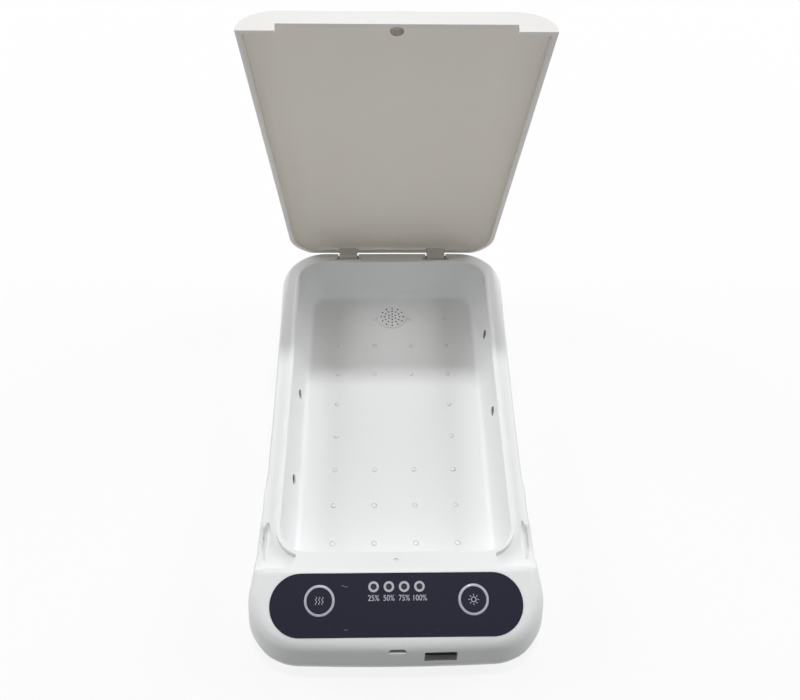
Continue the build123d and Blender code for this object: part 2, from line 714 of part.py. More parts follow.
# ---- boards and sockets ----------------------------------------------------------------
def main_board():
    """Board on posts behind the front face, its screws and the sockets."""
    low = BOARD_TOP - BOARD_T
    board = block(BOARD_X0, BOARD_X1, BOARD_Y0, BOARD_Y1, low, BOARD_TOP)
    for x, y in board_screw_places():
        board -= rod(x, y, low - 5, BOARD_TOP + 5, 1.3)
    keep("main_board", board)
    screws = []
    for x, y in board_screw_places():
        head = stud(x, y, BOARD_TOP, BOARD_TOP + 1.2, 2.2)
        screws.append(head + stud(x, y, BOARD_TOP - 7.0, BOARD_TOP, BOARD_SCREW_R))
    keep("board_screws", Compound(children=screws))


def usb_socket():
    """USB-A socket: thin shell and its tongue."""
    plan = RectangleRounded(USB_W, USB_H, 0.5)
    inner = RectangleRounded(USB_W - 2 * SHEET, USB_H - 2 * SHEET, 0.2)
    back = PORT_Y + USB_DEEP
    shell = port_solid(plan, USB_X, USB_Z, PORT_Y, back)
    shell -= port_solid(inner, USB_X, USB_Z, PORT_Y - 1, back - 1.0)
    keep("usb_a_shell", shell)
    low = USB_Z + 0.5
    tongue = block(USB_X - 5.6, USB_X + 5.6, PORT_Y + 1.2, back - 1.0, low, low + 1.8)
    keep("usb_a_tongue", tongue)


def micro_socket():
    """Micro-USB socket on its stand."""
    back = MICRO_Y + MICRO_DEEP
    shell = port_solid(micro_outline(0.0), MICRO_X, MICRO_Z, MICRO_Y, back)
    shell -= port_solid(micro_outline(-0.3), MICRO_X, MICRO_Z, MICRO_Y - 1, back - 0.6)
    keep("micro_usb_shell", shell)
    w = 1.9
    low = MICRO_Z - 0.55
    tongue = block(MICRO_X - w, MICRO_X + w, MICRO_Y + 0.6, back - 0.6, low, low + 0.55)
    keep("micro_usb_tongue", tongue)
    low = MICRO_Z - MICRO_H / 2
    stand = block(MICRO_X - 3, MICRO_X + 3, MICRO_Y + 2.6, back + 2, BOARD_TOP, low)
    keep("micro_usb_stand", stand)


def uv_parts():
    """Lamp boards behind the chamber walls, with the lamps in the holes."""
    for name, planes in uv_places().items():
        rows = [p.origin.Y for p in planes]
        span = abs(rows[0] - rows[1]) + 2 * UV_BOARD_END
        first = planes[0]
        centre = Vector(first.origin.X, sum(rows) / 2, first.origin.Z)
        plane = Plane(origin=centre, x_dir=(0, 1, 0), z_dir=first.z_dir)
        down = -UV_BOARD_LOW if first.z_dir.X > 0 else UV_BOARD_LOW
        slab = Pos(0, down, TUB_WALL + 1.5) * Box(span, UV_BOARD_H, 1.2)
        keep("uv_board_" + name, plane * slab)
        lamps = []
        for spot in planes:
            lamp = spot * (Pos(0, 0, 1.55) * Cylinder(UV_HOLE_R - 0.2, 1.9))
            lamp += spot * (Pos(0, 0, TUB_WALL + 0.6) * Box(6.4, 6.4, 0.6))
            lamps.append(lamp)
        keep("uv_emitters_" + name, Compound(children=lamps))


def lid_sensor():
    """Magnetic sensor under the platform."""
    y = DIMPLE_Y
    keep("lid_sensor", block(-4, 4, y - 2.0, y + 1.6, UNDER_Z - 2.6, UNDER_Z))


def hinge_pins():
    """Two plain pins."""
    keep("hinge_pins", Compound(children=pin_rods(PIN_R)))


# ---- lid (drawn closed, then opened) --------------------------------------------------
def lid_plan(inset, extra, z):
    """Lid outline, its front end run past the front face."""
    far = LID_FRONT_Y - extra
    grow = (LID_HALF_FRONT - LID_HALF_BACK) * (LID_REACH + extra) / LID_REACH
    half_far = LID_HALF_BACK + grow - inset
    half_near = LID_HALF_BACK - inset
    back = LID_BACK_Y - inset
    corners = [(-half_near, back), (half_near, back), (half_far, far), (-half_far, far)]
    face = make_face(Polyline(*corners, close=True))
    rear = face.vertices().group_by(Axis.Y)[-1]
    soft = fillet(rear, LID_R - inset).faces()[0]
    return Pos(0, 0, z) * Face(soft.outer_wire())


def lid_dome(inset, height, shoulder):
    """Low dome with elliptical shoulders on three sides."""
    tall = extrude(lid_plan(inset, 30.0, 0), shoulder + 0.2)
    roof = tall.faces().sort_by(Axis.Z)[-1]
    edges = [e for e in roof.edges() if e.center().Y > LID_FRONT_Y - 29.0]
    tall = fillet(edges, shoulder)
    flat = scale(tall, by=(1, 1, height / (shoulder + 0.2)))
    return Pos(0, 0, RIM_Z) * flat


def front_side(y):
    """Everything in front of a Y plane."""
    return block(-120, 120, y - 80, y, -10, 90)


def rear_rim_cut():
    """Raised rear rim so that the open lid clears the back of the base."""
    slope = 0.466
    y0 = HINGE_Y - 2.5
    y1 = HINGE_Y + 6.0
    z0 = HINGE_Z + 2.89 + slope * (y0 - HINGE_Y)
    z1 = HINGE_Z + 2.89 + slope * (y1 - HINGE_Y)
    corners = [(y0, 0), (y1, 0), (y1, z1), (y0, z0)]
    profile = Plane.YZ * make_face(Polyline(*corners, close=True))
    return extrude(profile, 54.0, both=True)


def lid_arm(side):
    """Hinge arm: knuckle and web up into the rear wall of the lid."""
    x = side * ARM_X
    knuckle = Pos(x, HINGE_Y, HINGE_Z) * Rot(0, 90, 0) * Cylinder(KNUCKLE_R, ARM_W)
    web = block(x - ARM_W / 2, x + ARM_W / 2, HINGE_Y - 2.1, HINGE_Y + 0.9, HINGE_Z, LID_TOP)
    bore = Pos(x, HINGE_Y, HINGE_Z) * Rot(0, 90, 0) * Cylinder(PIN_R + PIN_FIT, ARM_W + 2)
    return knuckle, web, bore


def lid_cover():
    """Outer shell of the lid with its two arms."""
    dome = lid_dome(0.0, LID_HEIGHT, LID_SHOULDER) - front_side(LID_FRONT_Y)
    shell = dome - lid_hollow(0.0)
    notch_z = RIM_Z + LID_NOTCH_H
    y1 = LID_FRONT_Y + 20
    shell -= block(-NOTCH_HALF, NOTCH_HALF, LID_FRONT_Y - 5, y1, 0, notch_z)
    shell -= rear_rim_cut()
    for side in (-1, 1):
        knuckle, web, bore = lid_arm(side)
        low = HINGE_Z + 4.6
        inside = web & dome & block(-90, 90, 0, 150, low - 1.0, 90)
        neck = web & block(-90, 90, 0, 150, 0, low)
        shell = shell + inside + neck + knuckle - bore
    keep("lid_cover", open_lid(shell))


def lid_hollow(clear):
    """Inner space of the cover, optionally smaller by a fit."""
    inset = LID_WALL + clear
    hollow = lid_dome(inset, LID_HEIGHT - LID_ROOF - clear, LID_SHOULDER - inset)
    hollow -= front_side(LID_FRONT_Y + inset)
    return hollow + block(-40, 40, LID_FRONT_Y + inset, LID_FRONT_Y + 30, 20, RIM_Z + 2)


def lid_liner():
    """Thin liner under the cover, with the magnet boss at its front."""
    wide = LID_HALF_FRONT + 30
    low = RIM_Z + LINER_EDGE
    body = lid_hollow(LINER_FIT) & block(-wide, wide, LID_FRONT_Y - 40, LID_BACK_Y + 30, low, 90)
    inset = LID_WALL + LINER_T
    dish = lid_dome(inset, DISH_RISE, LID_SHOULDER - inset) - front_side(LID_FRONT_Y + inset)
    lead = extrude(lid_plan(inset, -inset, RIM_Z + 0.01), -10.0)
    body = body - dish - lead
    y = HINGE_Y - BOSS_BACK
    notch_z = RIM_Z + LID_NOTCH_H
    boss = rod(0, y, notch_z + 0.2, DISH_Z + 0.2, BOSS_R)
    boss += block(-BOSS_R, BOSS_R, y - BOSS_R - 2, y, notch_z + 0.2, DISH_Z + 0.2)
    body += boss - front_side(LID_FRONT_Y + LID_WALL + LINER_FIT)
    body -= rod(0, y, 0, DISH_Z, BOSS_HOLE_R)
    front = (LID_FRONT_Y - 5, LID_FRONT_Y + 20)
    body -= block(-NOTCH_HALF, NOTCH_HALF, *front, 0, notch_z)
    for side in (-1, 1):
        x = side * ARM_X
        body -= block(x - 5.3, x + 5.3, HINGE_Y - 2.4, LID_BACK_Y + 40, 0, 90)
    body -= rear_rim_cut()
    whole = body.solids().sort_by(SortBy.VOLUME)[-1]
    keep("lid_liner", open_lid(whole))
    magnet = rod(0, y, DISH_Z - MAGNET_T, DISH_Z, MAGNET_R)
    keep("lid_magnet", open_lid(magnet))


def open_lid(shape):
    """Turn a closed lid piece to the rest pose."""
    axis = Axis((0, HINGE_Y, HINGE_Z), (-1, 0, 0))
    return shape.rotate(axis, LID_OPEN)


def build_all():
    """Make every node and write it."""
    upper_housing()
    bottom_cover()
    rubber_feet()
    case_screws()
    aroma_parts()
    phone_support_nubs()
    control_overlay()
    indicators()
    button(-1, "left")
    button(1, "right")
    panel_board()
    main_board()
    usb_socket()
    micro_socket()
    uv_parts()
    lid_sensor()
    hinge_pins()
    lid_cover()
    lid_liner()
    os.makedirs("parts", exist_ok=True)
    for name, shape in NODES.items():
        export_step(shape, "parts/" + name + ".step")
        box = shape.bounding_box()
        low = [round(v, 2) for v in box.min]
        high = [round(v, 2) for v in box.max]
        print(name, len(shape.solids()), round(shape.volume, 1), low, high)


build_all()
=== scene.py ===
"""Looks for the phone sanitizer box: camera, lamps, finishes and small trim."""
import math

import bmesh
import bpy
from mathutils import Matrix, Vector
from mathutils.bvhtree import BVHTree
from mathutils.interpolate import poly_3d_calc


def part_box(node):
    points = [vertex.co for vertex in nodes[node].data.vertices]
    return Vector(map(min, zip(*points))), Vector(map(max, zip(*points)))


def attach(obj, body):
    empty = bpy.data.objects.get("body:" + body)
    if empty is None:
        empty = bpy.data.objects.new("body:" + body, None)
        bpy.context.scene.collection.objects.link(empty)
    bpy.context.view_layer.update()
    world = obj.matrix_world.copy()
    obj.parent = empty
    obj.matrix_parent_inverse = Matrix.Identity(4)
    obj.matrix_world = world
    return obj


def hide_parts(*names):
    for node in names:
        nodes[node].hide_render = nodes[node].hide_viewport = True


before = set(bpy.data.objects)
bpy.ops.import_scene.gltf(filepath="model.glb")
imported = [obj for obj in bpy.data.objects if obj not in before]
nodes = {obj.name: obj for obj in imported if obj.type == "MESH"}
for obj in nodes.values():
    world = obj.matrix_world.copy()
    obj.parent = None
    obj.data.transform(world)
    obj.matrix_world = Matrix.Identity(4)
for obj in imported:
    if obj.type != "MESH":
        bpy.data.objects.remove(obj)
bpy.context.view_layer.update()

# Blender's unit is the metre. Sizes of pieces are named in mm and turned by MM.
MM = 0.001
MERGE_CAD = 1e-6          # corners of a CAD mesh closer than this are one
MERGE_NEW = 1e-7          # the same for meshes made here

# ---------------------------------------------------------------- camera
CAMERA_PLACE = (-0.00555, -0.21619, 0.36097)
CAMERA_DOWN = 52.025      # degrees below the horizon
CAMERA_TURN = 2.019       # degrees to the right of straight ahead
CAMERA_ROLL = 1.413       # degrees
CAMERA_SENSOR = 36.0
CAMERA_LENS = 36.508


def set_camera():
    """Camera above the control panel, looking down into the chamber."""
    down = math.radians(CAMERA_DOWN)
    turn = math.radians(CAMERA_TURN)
    roll = math.radians(CAMERA_ROLL)
    ahead = Vector((
        math.sin(turn) * math.cos(down),
        math.cos(turn) * math.cos(down),
        -math.sin(down),
    ))
    flat = Vector((math.cos(turn), -math.sin(turn), 0.0))
    rise = flat.cross(ahead)
    right = flat * math.cos(roll) + rise * math.sin(roll)
    up = rise * math.cos(roll) - flat * math.sin(roll)
    data = bpy.data.cameras.new("panel_camera")
    data.sensor_width = CAMERA_SENSOR
    data.lens = CAMERA_LENS
    data.clip_start = 0.01
    data.dof.use_dof = False
    camera = bpy.data.objects.new("panel_camera", data)
    bpy.context.scene.collection.objects.link(camera)
    axes = Matrix((right, up, -ahead)).transposed().to_4x4()
    camera.matrix_world = Matrix.Translation(CAMERA_PLACE) @ axes
    bpy.context.scene.camera = camera


# ---------------------------------------------------------------- node helpers
def group_sockets(group, inputs, outputs):
    """Gives a node group its named sockets."""
    kinds = {"v": "NodeSocketVector", "f": "NodeSocketFloat"}
    for name, kind, value in inputs:
        socket = group.interface.new_socket(
            name=name, in_out="INPUT", socket_type=kinds[kind]
        )
        if value is not None:
            socket.default_value = value
    for name, kind in outputs:
        group.interface.new_socket(name=name, in_out="OUTPUT", socket_type=kinds[kind])


def add_node(tree, kind, **values):
    """Adds a node and sets its plain properties."""
    node = tree.nodes.new(kind)
    for name, value in values.items():
        setattr(node, name, value)
    return node


def math_node(tree, operation, first, second=None, third=None):
    """Math node whose inputs are sockets or numbers."""
    node = add_node(tree, "ShaderNodeMath", operation=operation)
    for index, value in enumerate((first, second, third)):
        if value is None:
            continue
        if isinstance(value, (int, float)):
            node.inputs[index].default_value = value
        else:
            tree.links.new(value, node.inputs[index])
    return node.outputs[0]


def mix_colour(tree, factor, first, second, blend="MIX"):
    """Colour mix whose inputs are sockets, numbers or colours."""
    node = add_node(tree, "ShaderNodeMix", data_type="RGBA", blend_type=blend)
    for index, value in ((0, factor), (6, first), (7, second)):
        if isinstance(value, bpy.types.NodeSocket):
            tree.links.new(value, node.inputs[index])
        elif isinstance(value, (int, float)):
            node.inputs[index].default_value = value
        else:
            node.inputs[index].default_value = (*value, 1.0)
    return node.outputs[2]


def noise(tree, vector, scale, detail=2.0, rough=0.5):
    """Noise value at a scale in features per metre."""
    node = add_node(tree, "ShaderNodeTexNoise")
    node.inputs["Scale"].default_value = scale
    node.inputs["Detail"].default_value = detail
    node.inputs["Roughness"].default_value = rough
    tree.links.new(vector, node.inputs["Vector"])
    return node.outputs["Fac"]


# ---------------------------------------------------------------- shared effects
# Scales are in features per metre.
GRAIN_FINE = 2200.0
WAVE_SCALE = 38.0         # slow unevenness of a moulded skin
WAVE_HEIGHT = 0.35
DRIFT_SCALE = 9.0         # slow drift of tone and polish
DRIFT = 0.05
SCUFF_SCALE = 260.0
SCUFF_STRETCH = 9.0
SCUFF_LEAN = (0.0, 0.2, 0.5)     # radians
SCUFF_FROM = 0.7          # noise value above which a scuff shows
SPECK_SCALE = 900.0
SPECK_FROM = 0.78         # noise value above which a speck shows


def make_mould_grain():
    """Fine grain of moulded plastic: a height, a slow tone drift and a polish."""
    tree = bpy.data.node_groups.new("mould_grain", "ShaderNodeTree")
    group_sockets(
        tree,
        [("Vector", "v", None), ("Grain", "f", GRAIN_FINE), ("Depth", "f", 0.5)],
        [("Height", "f"), ("Tone", "f"), ("Polish", "f")],
    )
    enter = add_node(tree, "NodeGroupInput")
    leave = add_node(tree, "NodeGroupOutput")
    fine = add_node(tree, "ShaderNodeTexNoise")
    fine.inputs["Detail"].default_value = 1.0
    tree.links.new(enter.outputs["Vector"], fine.inputs["Vector"])
    tree.links.new(enter.outputs["Grain"], fine.inputs["Scale"])
    wave = noise(tree, enter.outputs["Vector"], WAVE_SCALE, 1.0)
    slow = noise(tree, enter.outputs["Vector"], DRIFT_SCALE, 3.0)
    height = math_node(tree, "MULTIPLY", fine.outputs["Fac"], enter.outputs["Depth"])
    swell = math_node(tree, "MULTIPLY", wave, WAVE_HEIGHT)
    height = math_node(tree, "ADD", height, swell)
    tree.links.new(height, leave.inputs["Height"])
    tone = math_node(tree, "MULTIPLY_ADD", slow, DRIFT, 1.0 - DRIFT / 2)
    tree.links.new(tone, leave.inputs["Tone"])
    polish = math_node(tree, "SUBTRACT", slow, 0.5)
    tree.links.new(polish, leave.inputs["Polish"])
    return tree


def make_handling_marks():
    """Sparse hair-fine scuffs and specks from use, as masks."""
    tree = bpy.data.node_groups.new("handling_marks", "ShaderNodeTree")
    group_sockets(
        tree,
        [("Vector", "v", None), ("Amount", "f", 0.5)],
        [("Scuffs", "f"), ("Specks", "f")],
    )
    enter = add_node(tree, "NodeGroupInput")
    leave = add_node(tree, "NodeGroupOutput")
    stretch = add_node(tree, "ShaderNodeMapping")
    stretch.inputs["Scale"].default_value = (1.0, SCUFF_STRETCH, 1.0)
    stretch.inputs["Rotation"].default_value = SCUFF_LEAN
    tree.links.new(enter.outputs["Vector"], stretch.inputs["Vector"])
    lines = noise(tree, stretch.outputs["Vector"], SCUFF_SCALE, 3.0, 0.65)
    lines = math_node(tree, "GREATER_THAN", lines, SCUFF_FROM)
    scuffs = math_node(tree, "MULTIPLY", lines, enter.outputs["Amount"])
    tree.links.new(scuffs, leave.inputs["Scuffs"])
    dots = noise(tree, enter.outputs["Vector"], SPECK_SCALE, 0.0)
    dots = math_node(tree, "GREATER_THAN", dots, SPECK_FROM)
    specks = math_node(tree, "MULTIPLY", dots, enter.outputs["Amount"])
    tree.links.new(specks, leave.inputs["Specks"])
    return tree


GRAIN = make_mould_grain()
MARKS = make_handling_marks()


def new_finish(name):
    """Material with its shader, output and object coordinates."""
    material = bpy.data.materials.new(name)
    material.use_nodes = True
    tree = material.node_tree
    tree.nodes.clear()
    shader = add_node(tree, "ShaderNodeBsdfPrincipled")
    out = add_node(tree, "ShaderNodeOutputMaterial")
    tree.links.new(shader.outputs["BSDF"], out.inputs["Surface"])
    place = add_node(tree, "ShaderNodeTexCoord").outputs["Object"]
    return material, tree, shader, place


def use_group(tree, group, place, **values):
    """Places a shared effect and sets its own values."""
    node = add_node(tree, "ShaderNodeGroup", node_tree=group)
    tree.links.new(place, node.inputs["Vector"])
    for name, value in values.items():
        node.inputs[name].default_value = value
    return node


def relief(tree, shader, height, distance, strength=1.0):
    """Bump of a height in metres into the shader's normal."""
    bump = add_node(tree, "ShaderNodeBump")
    bump.inputs["Strength"].default_value = strength
    bump.inputs["Distance"].default_value = distance
    tree.links.new(height, bump.inputs["Height"])
    tree.links.new(bump.outputs["Normal"], shader.inputs["Normal"])


# ---------------------------------------------------------------- kinds of finish
WORN_SHADE = 0.9          # share of the colour that a speck of wear keeps
POLISH_SWING = 0.16       # drift of roughness over a moulded skin
SCUFF_DULLING = 0.12      # roughness that a scuff adds
COAT_ROUGH = 0.08

BRUSH_SCALE = 900.0
BRUSH_DARK = 0.7
BRUSH_SHARE = 0.5
BRUSH_GLOSS = 0.2
BRUSH_HEIGHT = 0.00001    # metres, as are the other heights here

TRACK_SCALE = 180.0
TRACK_WIDTH = 0.06
COPPER_SCALE = 220.0
COPPER_FROM = 0.52
TRACK_LIGHT = 2.2
TRACK_PALE = 0.02
TRACK_HEIGHT = 0.00003

FIBRE_SCALE = 1400.0
CLUMP_SCALE = 260.0
FELT_DARK = 0.66
FIBRE_HEIGHT = 0.0002

BLOOM_SCALE = 120.0
BLOOM_KEEP = 0.8
BLOOM_PALE = 0.06
RUBBER_HEIGHT = 0.00006

# The vent cap's holes get painted shade down inside them: the middle of the cap, a
# radius just past its outer holes, and a height just under the mouths of the holes, in
# mm.
VENT_Y = 79.9
VENT_SHADE_R = 6.9
VENT_TOP = 11.9
VENT_HOLE_SHADE = (0.03, 0.028, 0.025)


def vent_hole_shade(tree, place, shade):
    """Painted shade: darkens a colour down inside the small holes of the vent cap."""
    parts = add_node(tree, "ShaderNodeSeparateXYZ")
    tree.links.new(place, parts.inputs[0])
    flat = add_node(tree, "ShaderNodeCombineXYZ")
    tree.links.new(parts.outputs["X"], flat.inputs["X"])
    tree.links.new(parts.outputs["Y"], flat.inputs["Y"])
    away = add_node(tree, "ShaderNodeVectorMath", operation="DISTANCE")
    tree.links.new(flat.outputs[0], away.inputs[0])
    away.inputs[1].default_value = (0.0, VENT_Y * MM, 0.0)
    inside = math_node(tree, "LESS_THAN", away.outputs["Value"], VENT_SHADE_R * MM)
    below = math_node(tree, "LESS_THAN", parts.outputs["Z"], VENT_TOP * MM)
    mask = math_node(tree, "MULTIPLY", inside, below)
    return mix_colour(tree, mask, shade, VENT_HOLE_SHADE)


def plastic(name, colour, rough, grain=GRAIN_FINE, depth=0.5, bump=0.00002, marks=0.3,
            mark_colour=None, coat=0.0, shine=0.5, tint=None):
    """Moulded plastic with grain, slow tone drift and light handling marks."""
    material, tree, shader, place = new_finish(name)
    skin = use_group(tree, GRAIN, place, Grain=grain, Depth=depth)
    wear = use_group(tree, MARKS, place, Amount=marks)
    tone = add_node(tree, "ShaderNodeCombineColor")
    for index in range(3):
        tree.links.new(skin.outputs["Tone"], tone.inputs[index])
    shade = mix_colour(tree, 1.0, colour, tone.outputs[0], "MULTIPLY")
    worn = mark_colour or tuple(c * WORN_SHADE for c in colour)
    shade = mix_colour(tree, wear.outputs["Specks"], shade, worn)
    # optional painted shade laid over the colour, as down inside the vent holes
    if tint:
        shade = tint(tree, place, shade)
    tree.links.new(shade, shader.inputs["Base Color"])
    gloss = math_node(tree, "MULTIPLY_ADD", skin.outputs["Polish"], POLISH_SWING, rough)
    gloss = math_node(tree, "MULTIPLY_ADD", wear.outputs["Scuffs"], SCUFF_DULLING, gloss)
    tree.links.new(gloss, shader.inputs["Roughness"])
    shader.inputs["Coat Weight"].default_value = coat
    shader.inputs["Coat Roughness"].default_value = COAT_ROUGH
    shader.inputs["Specular IOR Level"].default_value = shine
    relief(tree, shader, skin.outputs["Height"], bump)
    return material


def metal(name, colour, rough, brush=(1.0, 1.0, 1.0)):
    """Plated or plain metal with fine brushing along one direction."""
    material, tree, shader, place = new_finish(name)
    shader.inputs["Metallic"].default_value = 1.0
    stretch = add_node(tree, "ShaderNodeMapping")
    stretch.inputs["Scale"].default_value = brush
    tree.links.new(place, stretch.inputs["Vector"])
    lines = noise(tree, stretch.outputs["Vector"], BRUSH_SCALE, detail=3.0, rough=0.6)
    wear = use_group(tree, MARKS, place, Amount=0.4)
    dull = tuple(c * BRUSH_DARK for c in colour)
    share = math_node(tree, "MULTIPLY", lines, BRUSH_SHARE)
    shade = mix_colour(tree, share, colour, dull)
    shade = mix_colour(tree, wear.outputs["Specks"], shade, dull)
    tree.links.new(shade, shader.inputs["Base Color"])
    gloss = math_node(tree, "MULTIPLY_ADD", lines, BRUSH_GLOSS, rough - BRUSH_GLOSS / 2)
    tree.links.new(gloss, shader.inputs["Roughness"])
    relief(tree, shader, lines, BRUSH_HEIGHT, strength=0.6)
    return material


def circuit_board(name, colour):
    """Solder mask with copper tracks showing faintly under it."""
    material, tree, shader, place = new_finish(name)
    tracks = add_node(tree, "ShaderNodeTexBrick")
    tracks.inputs["Scale"].default_value = TRACK_SCALE
    tracks.inputs["Mortar Size"].default_value = TRACK_WIDTH
    tree.links.new(place, tracks.inputs["Vector"])
    mask = noise(tree, place, COPPER_SCALE, detail=1.0)
    mask = math_node(tree, "GREATER_THAN", mask, COPPER_FROM)
    mask = math_node(tree, "MULTIPLY", mask, tracks.outputs["Fac"])
    light = tuple(min(1.0, c * TRACK_LIGHT + TRACK_PALE) for c in colour)
    shade = mix_colour(tree, mask, colour, light)
    tree.links.new(shade, shader.inputs["Base Color"])
    gloss = math_node(tree, "MULTIPLY_ADD", mask, -0.1, 0.42)
    tree.links.new(gloss, shader.inputs["Roughness"])
    relief(tree, shader, mask, TRACK_HEIGHT)
    return material


def felt(name, colour):
    """Pressed felt with a fibre fuzz."""
    material, tree, shader, place = new_finish(name)
    fibre = noise(tree, place, FIBRE_SCALE, detail=5.0, rough=0.75)
    clump = noise(tree, place, CLUMP_SCALE)
    dark = tuple(c * FELT_DARK for c in colour)
    shade = mix_colour(tree, fibre, dark, colour)
    shade = mix_colour(tree, math_node(tree, "MULTIPLY", clump, 0.4), shade, dark)
    tree.links.new(shade, shader.inputs["Base Color"])
    shader.inputs["Roughness"].default_value = 0.95
    shader.inputs["Sheen Weight"].default_value = 0.3
    relief(tree, shader, fibre, FIBRE_HEIGHT)
    return material


def rubber(name, colour):
    """Soft rubber with a dusty matt bloom."""
    material, tree, shader, place = new_finish(name)
    skin = use_group(tree, GRAIN, place, Grain=1500.0, Depth=0.8)
    bloom = noise(tree, place, BLOOM_SCALE, detail=3.0)
    pale = tuple(c * BLOOM_KEEP + BLOOM_PALE for c in colour)
    shade = mix_colour(tree, bloom, colour, pale)
    tree.links.new(shade, shader.inputs["Base Color"])
    gloss = math_node(tree, "MULTIPLY_ADD", bloom, 0.15, 0.68)
    tree.links.new(gloss, shader.inputs["Roughness"])
    relief(tree, shader, skin.outputs["Height"], RUBBER_HEIGHT)
    return material


# ---------------------------------------------------------------- finishes
SHELL_WHITE = (0.80, 0.812, 0.815)
LID_WHITE = (0.80, 0.785, 0.765)
LINER_CREAM = (0.80, 0.755, 0.685)
CUP_WHITE = (0.7, 0.7, 0.69)
NAVY = (0.0145, 0.0145, 0.029)
NAVY_MARK = (0.05, 0.05, 0.075)
SILVER = (0.42, 0.43, 0.49)
PRINT_GREY = (0.46, 0.47, 0.53)
SCUFF_GREY = (0.2, 0.2, 0.24)
LENS_SMOKE = (0.009, 0.008, 0.008)
# the UV lamps are darkened as painted shade, so the holes in the walls read as dark
# slits
UV_LAMP_SHADE = (0.05, 0.036, 0.03)
MAGNET_OLIVE = (0.60, 0.56, 0.48)
LED_CREAM = (0.75, 0.72, 0.55)
PLAIN_BLACK = (0.018, 0.018, 0.02)
SOCKET_STEEL = (0.11, 0.10, 0.095)
SCREW_ZINC = (0.5, 0.5, 0.5)
CONTACT_GOLD = (0.78, 0.58, 0.27)
HEATER_PLATE = (0.62, 0.62, 0.63)
BOARD_GREEN = (0.02, 0.11, 0.045)
# the aroma pad is white felt, darkened as painted shade seen down the vent holes
FELT_PAINTED_SHADE = (0.13, 0.115, 0.09)
FOOT_BLACK = (0.035, 0.035, 0.037)

finish = {
    "shell": plastic("shell_white", SHELL_WHITE, rough=0.4, marks=0.15, shine=0.4),
    "cover": plastic("cover_white", SHELL_WHITE, rough=0.38, grain=1500.0, depth=0.8),
    "lid": plastic(
        "lid_white", LID_WHITE, rough=0.34, grain=1800.0, depth=0.3, marks=0.2
    ),
    "liner": plastic(
        "liner_cream", LINER_CREAM, rough=0.34, grain=1800.0, depth=0.3, marks=0.1
    ),
    # the vent cap, with painted shade inside its holes
    "insert": plastic(
        "insert_white", SHELL_WHITE, rough=0.45, grain=1600.0, depth=0.6, tint=vent_hole_shade
    ),
    "nub": plastic("nub_white", SHELL_WHITE, rough=0.34, marks=0.0),
    "panel": plastic(
        "panel_navy", NAVY, rough=0.42, grain=2600.0, depth=0.4, bump=0.00001,
        marks=0.2, mark_colour=NAVY_MARK, shine=0.12,
    ),
    "cap": plastic(
        "cap_navy", NAVY, rough=0.36, marks=0.15, mark_colour=NAVY_MARK, shine=0.14
    ),
    "bezel": plastic(
        "bezel_silver", SILVER, rough=0.3, grain=3000.0, marks=0.2, coat=0.2
    ),
    "scuff": plastic("scuff_grey", SCUFF_GREY, rough=0.6, marks=0.0, shine=0.2),
    "print": plastic("print_grey", PRINT_GREY, rough=0.5, marks=0.1, shine=0.3),
    "lens": plastic("lens_smoke", LENS_SMOKE, rough=0.25, marks=0.0, shine=0.4),
    "uv_shaded": plastic("uv_lamp_shaded", UV_LAMP_SHADE, rough=0.3, marks=0.0, shine=0.3),
    "magnet": plastic("magnet_olive", MAGNET_OLIVE, rough=0.55, marks=0.2, shine=0.3),
    "led": plastic("led_body", LED_CREAM, rough=0.4),
    "black": plastic("black_plastic", PLAIN_BLACK, rough=0.45),
    "cup": plastic("cup_white", CUP_WHITE, rough=0.5),
    "silver": metal("silver_plate", SILVER, rough=0.38),
    "steel": metal("socket_steel", SOCKET_STEEL, rough=0.5, brush=(1.0, 8.0, 1.0)),
    "screw": metal("screw_zinc", SCREW_ZINC, rough=0.35),
    "gold": metal("contact_gold", CONTACT_GOLD, rough=0.25),
    "plate": metal("heater_plate", HEATER_PLATE, rough=0.4),
    "board": circuit_board("board_green", BOARD_GREEN),
    "felt": felt("felt_dark_shade", FELT_PAINTED_SHADE),
    "rubber": rubber("foot_rubber", FOOT_BLACK),
}

NODE_FINISH = {
    "upper_housing": "shell",
    "bottom_cover": "cover",
    "rubber_feet": "rubber",
    "case_screws": "screw",
    "aroma_vent_cap": "insert",
    "aroma_pad": "felt",
    "aroma_cup": "cup",
    "aroma_heater": "plate",
    "phone_support_nubs": "nub",
    "control_overlay": "panel",
    "left_button_cap": "cap",
    "right_button_cap": "cap",
    "left_button_ring": "silver",
    "right_button_ring": "silver",
    "indicator_lenses": "lens",
    "indicator_leds": "led",
    "panel_board": "board",
    "tact_switches": "black",
    "main_board": "board",
    "board_screws": "screw",
    "usb_a_shell": "steel",
    "usb_a_tongue": "black",
    "micro_usb_shell": "steel",
    "micro_usb_tongue": "black",
    "micro_usb_stand": "black",
    "uv_board_left": "board",
    "uv_board_right": "board",
    "uv_emitters_left": "uv_shaded",
    "uv_emitters_right": "uv_shaded",
    "lid_sensor": "black",
    "hinge_pins": "steel",
    "lid_cover": "lid",
    "lid_liner": "liner",
    "lid_magnet": "magnet",
}


def dress_nodes():
    """Gives every carried-over node its finish."""
    for name, kind in NODE_FINISH.items():
        slots = nodes[name].data.materials
        slots.clear()
        slots.append(finish[kind])


# ---------------------------------------------------------------- mesh helpers
def settle(name, mesh_data, kind, body):
    """Makes an object of a finished mesh and lets it ride on a body."""
    piece = bpy.data.objects.new(name, mesh_data)
    bpy.context.scene.collection.objects.link(piece)
    mesh_data.materials.clear()
    mesh_data.materials.append(finish[kind])
    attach(piece, body)
    return piece


def merged_copy(name):
    """Copy of a CAD node's mesh as a bmesh, its loose triangles joined."""
    shape = bmesh.new()
    shape.from_mesh(nodes[name].data)
    bmesh.ops.remove_doubles(shape, verts=shape.verts, dist=MERGE_CAD)
    return shape


def plain_mesh(shape, name, smooth):
    """Mesh data from a bmesh as it is, which ends the bmesh."""
    data = bpy.data.meshes.new(name)
    shape.to_mesh(data)
    shape.free()
    for face in data.polygons:
        face.use_smooth = smooth
    return data


